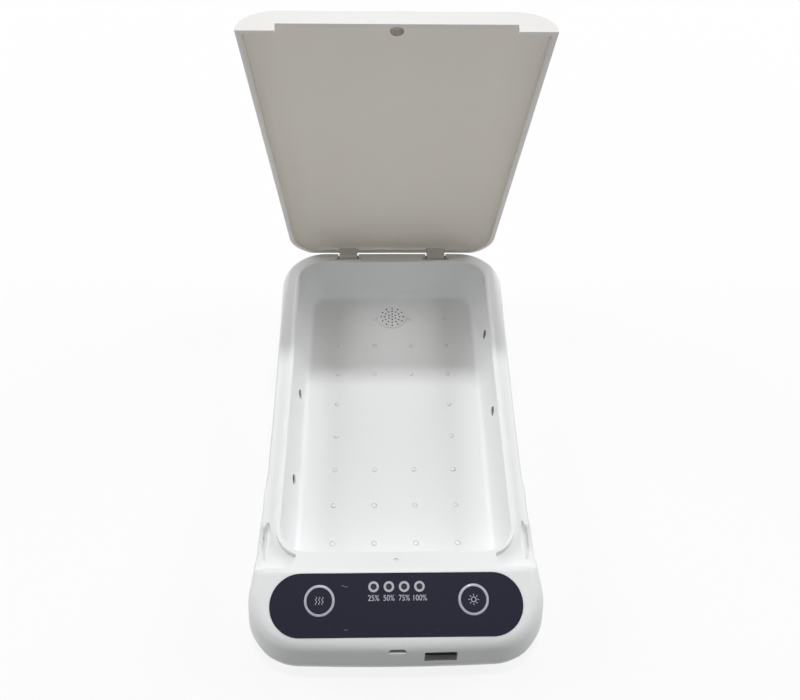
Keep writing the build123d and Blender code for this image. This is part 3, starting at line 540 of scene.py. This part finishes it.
def to_mesh(shape, name, smooth=True):
    """Mesh data from a bmesh, merged and with its normals outward."""
    bmesh.ops.remove_doubles(shape, verts=shape.verts, dist=MERGE_NEW)
    bmesh.ops.recalc_face_normals(shape, faces=shape.faces)
    return plain_mesh(shape, name, smooth)


def spun(profile, steps):
    """Ring from a closed profile of (radius, height) points in mm."""
    shape = bmesh.new()
    points = [shape.verts.new((r * MM, 0.0, z * MM)) for r, z in profile]
    edges = [
        shape.edges.new((points[i], points[(i + 1) % len(points)]))
        for i in range(len(points))
    ]
    bmesh.ops.spin(
        shape, geom=points + edges, cent=(0, 0, 0), axis=(0, 0, 1),
        angle=math.tau, steps=steps, use_merge=True,
    )
    return shape


def flat_ring(inner, outer, thick, steps):
    """Thin flat ring on the origin, in mm."""
    return spun([(inner, 0.0), (outer, 0.0), (outer, thick), (inner, thick)], steps)


def stroke(points, half, thick):
    """Thin bar along a line of points in mm, as a bmesh."""
    shape = bmesh.new()
    row = [shape.verts.new((x * MM, y * MM, 0.0)) for x, y in points]
    spine = [shape.edges.new((row[i], row[i + 1])) for i in range(len(row) - 1)]
    made = bmesh.ops.extrude_edge_only(shape, edges=spine)["geom"]
    fresh = [item for item in made if isinstance(item, bmesh.types.BMVert)]
    bmesh.ops.translate(shape, verts=fresh, vec=(0, 2 * half * MM, 0))
    bmesh.ops.translate(shape, verts=shape.verts, vec=(0, -half * MM, 0))
    made = bmesh.ops.extrude_face_region(shape, geom=shape.faces[:])["geom"]
    fresh = [item for item in made if isinstance(item, bmesh.types.BMVert)]
    bmesh.ops.translate(shape, verts=fresh, vec=(0, 0, thick * MM))
    return shape


def add_shape(target, shape, matrix):
    """Moves a bmesh into another one at a place."""
    data = bpy.data.meshes.new("part")
    shape.to_mesh(data)
    shape.free()
    data.transform(matrix)
    target.from_mesh(data)
    bpy.data.meshes.remove(data)


# ---------------------------------------------------------------- moulded base
# All in mm. The flanks move in from the start of the flare, most at its middle,
# and less again toward the front.
FLANK_IN = 2.9
FLARE_START = -38.0
FLARE_RUN = 18.0
FRONT_START = -72.0
FRONT_RUN = 26.0
FRONT_EASE = 0.75         # share of the move that fades toward the front
FLANK_FROM = 52.5         # across, where the move begins
FLANK_RUN = 8.5

# The outer lip of each finger hollow dips so that the hollow runs out sideways.
LIP_DIP = 3.4
LIP_Y = -65.5
LIP_HALF = 9.5
LIP_FROM = 58.8           # across
LIP_RUN = 2.2
LIP_LOW = 22.0            # height where the dip begins
LIP_RISE = 10.0
LIP_BLEND = 0.4           # dip from which the lip is shaded as one soft surface

SLICE_FIRST = -36.0       # cuts across the base, so that its flanks can bend
SLICE_STEP = 2.2
SLICES = 34

NUB_KEPT = 0.13           # share of the nubs' height that stays


def ease(value):
    """Smooth step from 0 to 1."""
    value = min(1.0, max(0.0, value))
    return value * value * (3.0 - 2.0 * value)


def flank_inset(x, y):
    """How far a flank point moves in, in mm: the flare starts later than the solid's."""
    swell = ease((FLARE_START - y) / FLARE_RUN)
    swell *= 1.0 - FRONT_EASE * ease((FRONT_START - y) / FRONT_RUN)
    return FLANK_IN * swell * ease((abs(x) - FLANK_FROM) / FLANK_RUN)


def lip_drop(x, y, z):
    """How far the outer lip of a finger hollow dips, in mm."""
    reach = max(0.0, 1.0 - ((y - LIP_Y) / LIP_HALF) ** 2)
    outward = ease((abs(x) - LIP_FROM) / LIP_RUN)
    return LIP_DIP * reach * outward * ease((z - LIP_LOW) / LIP_RISE)


def sliced_copy(name):
    """Copy of a node's mesh with cuts across it."""
    shape = merged_copy(name)
    for step in range(SLICES):
        bmesh.ops.bisect_plane(
            shape, geom=shape.verts[:] + shape.edges[:] + shape.faces[:],
            plane_co=(0.0, (SLICE_FIRST - SLICE_STEP * step) * MM, 0.0),
            plane_no=(0, 1, 0), dist=MERGE_NEW,
        )
    return plain_mesh(shape, name + "_moulded", True)


def carried_normals(solid, cut):
    """Shading normals of a solid, carried over to a copy that is cut finer."""
    points = [vert.co for vert in solid.vertices]
    tree = BVHTree.FromPolygons(points, [face.vertices[:] for face in solid.polygons])
    shading = []
    for face in cut.polygons:
        corners = [cut.vertices[index].co for index in face.vertices]
        source = solid.polygons[tree.find_nearest(face.center)[2]]
        outline = [points[index] for index in source.vertices]
        sides = [solid.corner_normals[loop].vector for loop in source.loop_indices]
        for corner in corners:
            shares = poly_3d_calc(outline, corner)
            normal = Vector()
            for share, side in zip(shares, sides):
                normal += share * side
            shading.append(normal.normalized())
    return shading


def moulded_copy(name, kind):
    """Copy of a base node with the slimmer flare and open finger hollows."""
    data = sliced_copy(name)
    shading = carried_normals(nodes[name].data, data)
    drops = [lip_drop(*(vert.co / MM)) for vert in data.vertices]
    for vert, drop in zip(data.vertices, drops):
        x, y = (vert.co / MM).xy
        vert.co.z -= drop * MM
        vert.co.x -= math.copysign(flank_inset(x, y), x) * MM
    data.update()
    for index, corner in enumerate(data.loops):
        share = min(1.0, drops[corner.vertex_index] / LIP_BLEND)
        smooth = data.vertices[corner.vertex_index].normal
        shading[index] = shading[index].lerp(smooth, share).normalized()
    data.normals_split_custom_set(shading)
    piece = settle(name + "_moulded", data, kind, "base")
    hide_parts(name)


def moulded_base():
    """Housing and bottom cover as the moulding runs at its flanks."""
    moulded_copy("upper_housing", "shell")
    moulded_copy("bottom_cover", "cover")


def low_nubs():
    """Phone nubs as low domes."""
    shape = merged_copy("phone_support_nubs")
    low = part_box("phone_support_nubs")[0].z
    for vert in shape.verts:
        vert.co.z = low + (vert.co.z - low) * NUB_KEPT
    data = plain_mesh(shape, "low_nubs", True)
    piece = settle("low_nubs", data, "nub", "base")
    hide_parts("phone_support_nubs")


# ---------------------------------------------------------------- panel trim
# All in mm. Places on the panel are given across and down its slope.
PANEL_TILT = 18.3         # degrees
CREASE_Y = -80.2          # top edge of the slope
CREASE_Z = 36.5
OVERLAY_TOP = 0.15        # overlay above the slope
PRINT_LIFT = 0.02         # print above the surface that carries it
LAMP_ROW = 6.4
LAMP_STEP = 6.35
LENS_TOP = 0.1            # lamp lenses above the overlay
RIM_INNER = 1.28
RIM_OUTER = 2.18
RIM_THICK = 0.05
NUMBER_ROW = 11.0
DIGIT_SIZE = 3.3
DIGIT_WIDTH = 0.86        # digits are a little narrower than the font's
DIGIT_THICK = 0.015
DIGIT_BOLD = 0.01
BUTTON_ROW = 11.8
BUTTON_SIDE = 31.9
CAP_TOP = 0.6             # button caps above the slope

# Section of a button's silver ring, as radius and height.
BEZEL_SECTION = [
    (4.75, -3.0), (6.35, -3.0), (6.35, 0.16), (6.27, 0.34), (6.08, 0.44),
    (5.2, 0.46), (4.95, 0.38), (4.8, 0.2), (4.75, 0.0),
]

SIGN_HALF = 0.14          # half the width of a sign's lines
SIGN_THICK = 0.03
WAVE_GAP = 1.3            # between the three vapour lines
WAVE_HALF = 1.6
WAVE_SWING = 0.28
WAVE_POINTS = 17
WAVE_TURN = 0.8           # radians of the wave from point to point
SUN_INNER = 0.8
SUN_OUTER = 1.1
RAYS = 8
RAY_FROM = 1.5
RAY_TO = 2.2

# Scuffs as place across, place down the slope, turn in radians and half length.
SCUFFS = ((-21.6, 6.1, -0.25, 1.3), (-20.8, 23.3, 0.1, 0.7))
SCUFF_HALF = 0.09
SCUFF_THICK = 0.012
SCUFF_LIFT = 0.004
SCUFF_SWING = 0.1

PANEL = Matrix.Translation((0.0, CREASE_Y * MM, CREASE_Z * MM))
PANEL = PANEL @ Matrix.Rotation(math.radians(PANEL_TILT), 4, "X")


def panel_spot(x, s, height):
    """Place on the panel: across, down the slope and above it, in mm."""
    return PANEL @ Matrix.Translation((x * MM, -s * MM, height * MM))


def lamp_places():
    """Across positions of the four lamps, in mm."""
    return [(index - 1.5) * LAMP_STEP for index in range(4)]


def lamp_rims():
    """Pale printed ring round each charge lamp."""
    rims = bmesh.new()
    for x in lamp_places():
        ring = flat_ring(RIM_INNER, RIM_OUTER, RIM_THICK, 48)
        add_shape(rims, ring, panel_spot(x, LAMP_ROW, OVERLAY_TOP + LENS_TOP))
    settle("lamp_rims", to_mesh(rims, "lamp_rims", False), "print", "base")


def lettering(text):
    """Flat mesh of a few digits, centred on the origin."""
    curve = bpy.data.curves.new("digits", "FONT")
    curve.body = text
    curve.size = DIGIT_SIZE * MM
    curve.align_x = "CENTER"
    curve.align_y = "CENTER"
    curve.extrude = DIGIT_THICK * MM
    curve.offset = DIGIT_BOLD * MM
    holder = bpy.data.objects.new("digits", curve)
    bpy.context.scene.collection.objects.link(holder)
    bpy.context.view_layer.update()
    graph = bpy.context.evaluated_depsgraph_get()
    data = bpy.data.meshes.new_from_object(holder.evaluated_get(graph))
    bpy.data.objects.remove(holder)
    data.transform(Matrix.Diagonal((DIGIT_WIDTH, 1.0, 1.0, 1.0)))
    return data


def charge_numbers():
    """Charge levels printed under the lamps."""
    for x, level in zip(lamp_places(), ("25", "50", "75", "100")):
        data = lettering(level + "%")
        data.transform(panel_spot(x, NUMBER_ROW, OVERLAY_TOP + PRINT_LIFT))
        settle("charge_" + level, data, "print", "base")


def button_bezels():
    """Rounded silver ring of each button."""
    for side, name in ((-1, "left"), (1, "right")):
        ring = spun(BEZEL_SECTION, 96)
        bmesh.ops.transform(
            ring, verts=ring.verts,
            matrix=panel_spot(side * BUTTON_SIDE, BUTTON_ROW, 0.0),
        )
        piece = settle(
            name + "_bezel", to_mesh(ring, name + "_bezel"), "bezel",
            name + "_button",
        )
        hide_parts(name + "_button_ring")


def vapour_sign():
    """Three rising vapour lines on the left cap."""
    sign = bmesh.new()
    spot = panel_spot(-BUTTON_SIDE, BUTTON_ROW, CAP_TOP + PRINT_LIFT)
    step = 2 * WAVE_HALF / (WAVE_POINTS - 1)
    wave = [
        (index * step - WAVE_HALF, WAVE_SWING * math.sin(index * WAVE_TURN))
        for index in range(WAVE_POINTS)
    ]
    upright = Matrix.Rotation(math.pi / 2, 4, "Z")
    for shift in (-WAVE_GAP, 0.0, WAVE_GAP):
        bar = stroke(wave, SIGN_HALF, SIGN_THICK)
        add_shape(sign, bar, spot @ Matrix.Translation((shift * MM, 0, 0)) @ upright)
    settle("vapour_sign", to_mesh(sign, "vapour_sign", False), "print", "left_button")


def ray_sign():
    """Ring with rays on the right cap."""
    sign = bmesh.new()
    spot = panel_spot(BUTTON_SIDE, BUTTON_ROW, CAP_TOP + PRINT_LIFT)
    add_shape(sign, flat_ring(SUN_INNER, SUN_OUTER, SIGN_THICK, 40), spot)
    for index in range(RAYS):
        bar = stroke([(RAY_FROM, 0.0), (RAY_TO, 0.0)], SIGN_HALF, SIGN_THICK)
        add_shape(sign, bar, spot @ Matrix.Rotation(math.tau * index / RAYS, 4, "Z"))
    settle("ray_sign", to_mesh(sign, "ray_sign", False), "print", "right_button")


def panel_scuffs():
    """Two short pale scuffs on the panel film."""
    marks = bmesh.new()
    for x, s, turn, half in SCUFFS:
        line = [
            (half * (index / 2 - 1), SCUFF_SWING * math.sin(2.0 * index))
            for index in range(5)
        ]
        bar = stroke(line, SCUFF_HALF, SCUFF_THICK)
        spot = panel_spot(x, s, OVERLAY_TOP + SCUFF_LIFT)
        add_shape(marks, bar, spot @ Matrix.Rotation(turn, 4, "Z"))
    settle("panel_scuffs", to_mesh(marks, "panel_scuffs", False), "scuff", "base")


# ---------------------------------------------------------------- socket trim
CONTACT_THICK = 0.06      # all in mm
CONTACT_SINK = 0.02       # middle of a strip below the tongue
CONTACT_SOFT = 0.015
CONTACT_LENGTH = 0.8      # share of the tongue's length
CONTACT_MIDDLE = 0.45     # along the tongue, from its front end


def contact_strips(tongue, name, count, width):
    """Gilt contact strips along the underside of a socket's tongue."""
    low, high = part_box(tongue)
    span = high.x - low.x
    length = high.y - low.y
    strips = bmesh.new()
    for index in range(count):
        made = bmesh.ops.create_cube(strips, size=1.0)["verts"]
        size = (width * MM, length * CONTACT_LENGTH, CONTACT_THICK * MM)
        bmesh.ops.scale(strips, verts=made, vec=size)
        place = (
            low.x + span * (index + 0.5) / count,
            low.y + length * CONTACT_MIDDLE,
            low.z - CONTACT_SINK * MM,
        )
        bmesh.ops.translate(strips, verts=made, vec=place)
    bmesh.ops.bevel(
        strips, geom=strips.edges[:], offset=CONTACT_SOFT * MM, segments=1,
        affect="EDGES", profile=0.5, material=-1,
    )
    settle(name, to_mesh(strips, name, False), "gold", "base")


def socket_contacts():
    """Contacts of the two sockets: how many, and how wide."""
    contact_strips("usb_a_tongue", "usb_a_contacts", 4, 1.0)
    contact_strips("micro_usb_tongue", "micro_usb_contacts", 5, 0.32)


# ---------------------------------------------------------------- surroundings
# Lengths in metres. The floor and the sky are white to the camera and in
# reflections, and dimmer as light.
WHITE = (1.0, 1.0, 1.0)
FLOOR_HALF = 12.0
FLOOR_PALE = (0.8, 0.8, 0.8)
FLOOR_BOUNCE = (0.45, 0.45, 0.45)
GLOW_NEAR = 0.3           # up to here the floor has the least glow
GLOW_FAR = 1.1            # from here it is all glow
GLOW_LEAST = 0.86
SKY_TINT = (0.97, 0.985, 1.0)
SKY_STRENGTH = 0.05


def looked_at(tree, path):
    """One where the camera, a reflection or glass looks, and zero for bounced light."""
    seen = math_node(
        tree, "MAXIMUM", path.outputs["Is Camera Ray"], path.outputs["Is Glossy Ray"]
    )
    return math_node(tree, "MAXIMUM", seen, path.outputs["Is Transmission Ray"])


def glowing(tree, kind, colour, strength):
    """Emission or background node of a plain colour."""
    node = add_node(tree, kind)
    node.inputs["Color"].default_value = (*colour, 1.0)
    node.inputs["Strength"].default_value = strength
    return node


def mix_into(tree, share, first, second, out_kind):
    """Mixes two shaders by a share and leads them to the output."""
    mix = add_node(tree, "ShaderNodeMixShader")
    tree.links.new(share, mix.inputs[0])
    tree.links.new(first.outputs[0], mix.inputs[1])
    tree.links.new(second.outputs[0], mix.inputs[2])
    out = add_node(tree, out_kind)
    tree.links.new(mix.outputs[0], out.inputs["Surface"])


def floor_paper():
    """Paper that keeps the shadows near the box and fades to white farther off."""
    material = bpy.data.materials.new("floor_white")
    material.use_nodes = True
    tree = material.node_tree
    tree.nodes.clear()
    path = add_node(tree, "ShaderNodeLightPath")
    diffuse = add_node(tree, "ShaderNodeBsdfDiffuse")
    paper = mix_colour(tree, path.outputs["Is Camera Ray"], FLOOR_BOUNCE, FLOOR_PALE)
    tree.links.new(paper, diffuse.inputs["Color"])
    glow = glowing(tree, "ShaderNodeEmission", WHITE, 1.0)
    place = add_node(tree, "ShaderNodeTexCoord").outputs["Object"]
    away = add_node(tree, "ShaderNodeVectorMath", operation="LENGTH")
    tree.links.new(place, away.inputs[0])
    fade = add_node(tree, "ShaderNodeMapRange", interpolation_type="SMOOTHSTEP")
    fade.inputs["From Min"].default_value = GLOW_NEAR
    fade.inputs["From Max"].default_value = GLOW_FAR
    fade.inputs["To Min"].default_value = GLOW_LEAST
    tree.links.new(away.outputs["Value"], fade.inputs["Value"])
    seen = looked_at(tree, path)
    share = math_node(tree, "MULTIPLY", seen, fade.outputs["Result"])
    mix_into(tree, share, diffuse, glow, "ShaderNodeOutputMaterial")
    return material


def set_floor():
    """Wide floor under the box."""
    shape = bmesh.new()
    bmesh.ops.create_grid(shape, x_segments=1, y_segments=1, size=FLOOR_HALF)
    floor = bpy.data.objects.new("floor", plain_mesh(shape, "floor", False))
    bpy.context.scene.collection.objects.link(floor)
    floor.data.materials.append(floor_paper())


def set_world():
    """Dim even sky, white where the camera or a reflection sees it."""
    world = bpy.data.worlds.new("studio")
    bpy.context.scene.world = world
    world.use_nodes = True
    tree = world.node_tree
    tree.nodes.clear()
    seen = looked_at(tree, add_node(tree, "ShaderNodeLightPath"))
    sky = glowing(tree, "ShaderNodeBackground", SKY_TINT, SKY_STRENGTH)
    white = glowing(tree, "ShaderNodeBackground", WHITE, 1.0)
    mix_into(tree, seen, sky, white, "ShaderNodeOutputWorld")


# Square soft lamps aimed at the origin: name, place, side and watts. The small
# ceiling lamp draws the lid's shadow in the chamber.
SOFT_LAMPS = (
    ("ceiling", (0.02, 0.125, 1.9), 0.12, 13.0),
    ("left_box", (-1.4, 0.35, 0.9), 1.0, 15.3),
    ("right_box", (1.4, 0.35, 0.9), 1.0, 15.3),
    ("rear_box", (0.0, 1.2, 1.1), 1.0, 7.0),
)
KICKER_PLACE = (0.0, -1.3, 0.3)
KICKER_AIM = (0.0, 0.07, 0.15)
KICKER_RADIUS = 0.12
KICKER_WIDTH = 17.0       # degrees
KICKER_WATTS = 17.6


def hang_lamp(name, data, place, aim):
    """Puts a lamp at a place and turns it to a point."""
    lamp = bpy.data.objects.new(name, data)
    bpy.context.scene.collection.objects.link(lamp)
    turn = (Vector(aim) - Vector(place)).to_track_quat("-Z", "Y")
    lamp.matrix_world = Matrix.Translation(place) @ turn.to_matrix().to_4x4()


def set_lamps():
    """Ceiling lamp, three soft boxes, and a spot lamp for the inside of the lid."""
    for name, place, side, watts in SOFT_LAMPS:
        data = bpy.data.lights.new(name, "AREA")
        data.shape = "SQUARE"
        data.size = side
        data.energy = watts
        hang_lamp(name, data, place, (0.0, 0.0, 0.0))
    data = bpy.data.lights.new("lid_kicker", "SPOT")
    data.shadow_soft_size = KICKER_RADIUS
    data.spot_size = math.radians(KICKER_WIDTH)
    data.spot_blend = 1.0
    data.energy = KICKER_WATTS
    hang_lamp("lid_kicker", data, KICKER_PLACE, KICKER_AIM)


set_camera()
dress_nodes()
moulded_base()
low_nubs()
lamp_rims()
charge_numbers()
button_bezels()
vapour_sign()
ray_sign()
panel_scuffs()
socket_contacts()
set_floor()
set_world()
set_lamps()
bpy.context.scene.view_settings.view_transform = "Standard"
